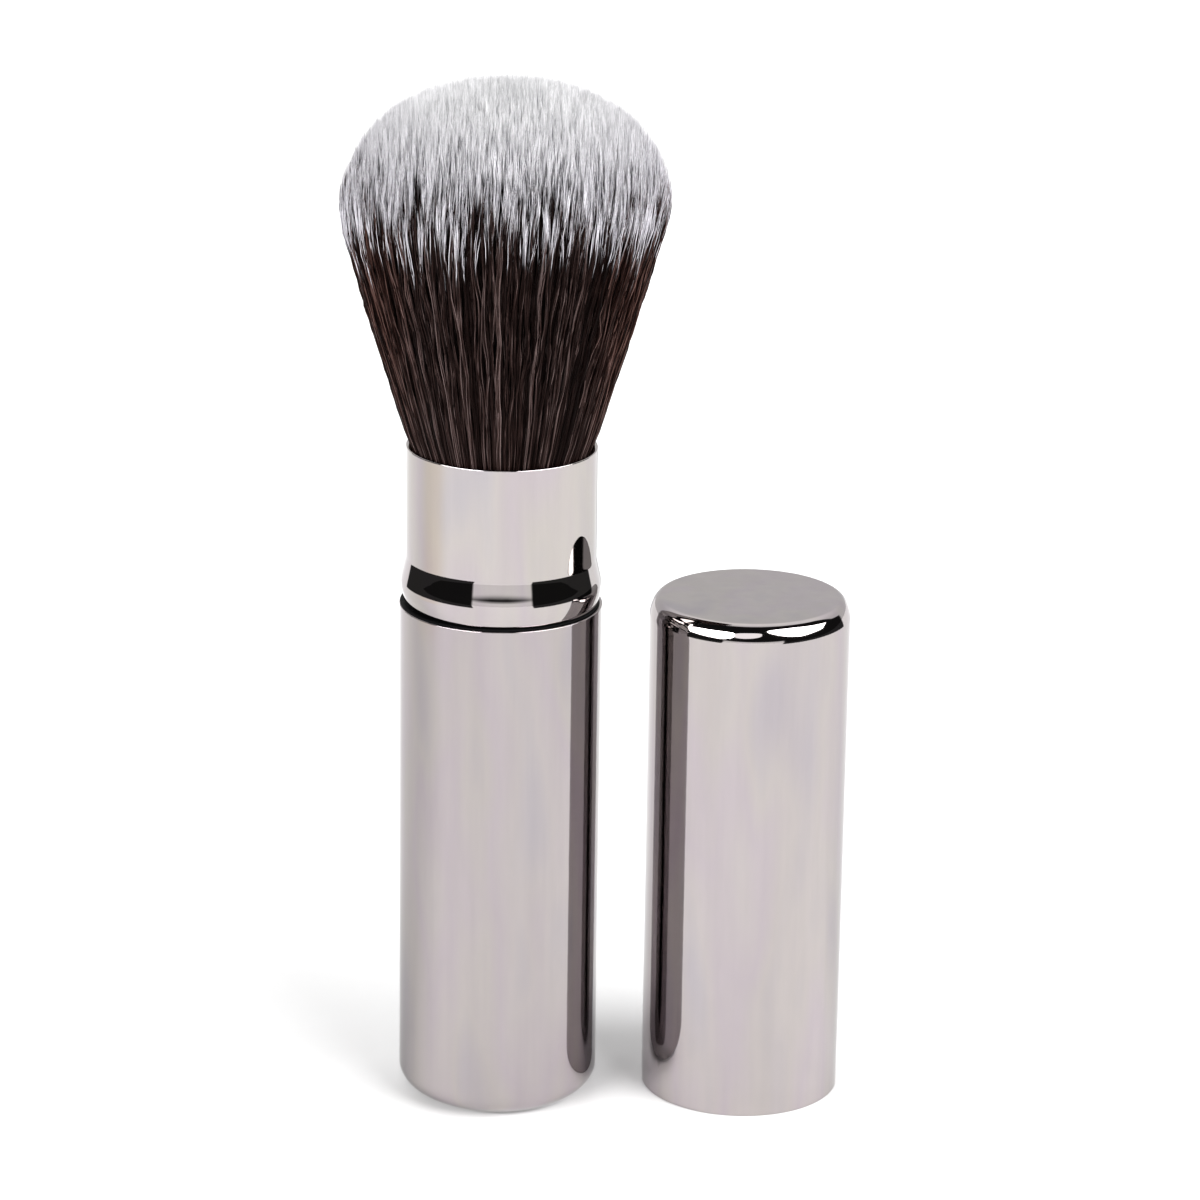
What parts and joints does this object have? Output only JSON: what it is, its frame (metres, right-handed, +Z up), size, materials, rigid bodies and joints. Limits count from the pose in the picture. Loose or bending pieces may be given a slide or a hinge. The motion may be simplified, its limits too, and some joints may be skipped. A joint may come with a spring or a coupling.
{
  "type": "retractable makeup brush",
  "caption": "Portable powder brush: domed bristles on a post in a metal barrel, a sliding collar that draws up over them, and a loose metal cap standing beside it.",
  "frame": {"origin": "centre of the barrel's flat base, on the barrel's axis", "axes": "+Z up along the barrel's axis towards the bristles; +X towards the cap that stands beside the brush"},
  "size_m": [0.0631, 0.0396, 0.1296],
  "materials": {
    "barrel_metal": "polished",
    "cap_metal": "polished",
    "collar_metal": "polished",
    "ferrule_metal": "satin",
    "inner_plastic": "satin",
    "ring_plastic": "satin",
    "friction_rubber": "matte",
    "screw_steel": "satin",
    "resin": "gloss",
    "binding_thread": "matte",
    "bristles": "matte"
  },
  "bodies": {
    "handle": {"barrel_shell": "barrel_metal", "barrel_liner": "inner_plastic", "base_plug": "inner_plastic", "core_post": "inner_plastic", "core_screw": "screw_steel", "ferrule": "ferrule_metal", "root_resin": "resin", "root_binding": "binding_thread", "bristle_bundle": "bristles"},
    "slide_ring": {"friction_ring": "friction_rubber"},
    "sleeve": {"collar": "collar_metal", "slider_tube": "inner_plastic", "stop_ring": "ring_plastic"},
    "cap": {"cap_shell": "cap_metal", "cap_liner": "inner_plastic"}
  },
  "joints": [
    {"name": "sleeve_slide", "type": "slide", "parent": "handle", "child": "slide_ring", "axis": [0, 0, 1], "range_m": [0, 0.042], "deforming": ["bristle_bundle"]},
    {"name": "sleeve_spin", "type": "hinge", "parent": "slide_ring", "child": "sleeve", "pos_m": [0, 0, 0.0166], "axis": [0, 0, 1], "continuous": true},
    {"name": "cap_lift", "type": "slide", "parent": "handle", "child": "cap", "axis": [0.0953, 0.0106, 0.9954], "range_m": [0, 0.135]}
  ]
}
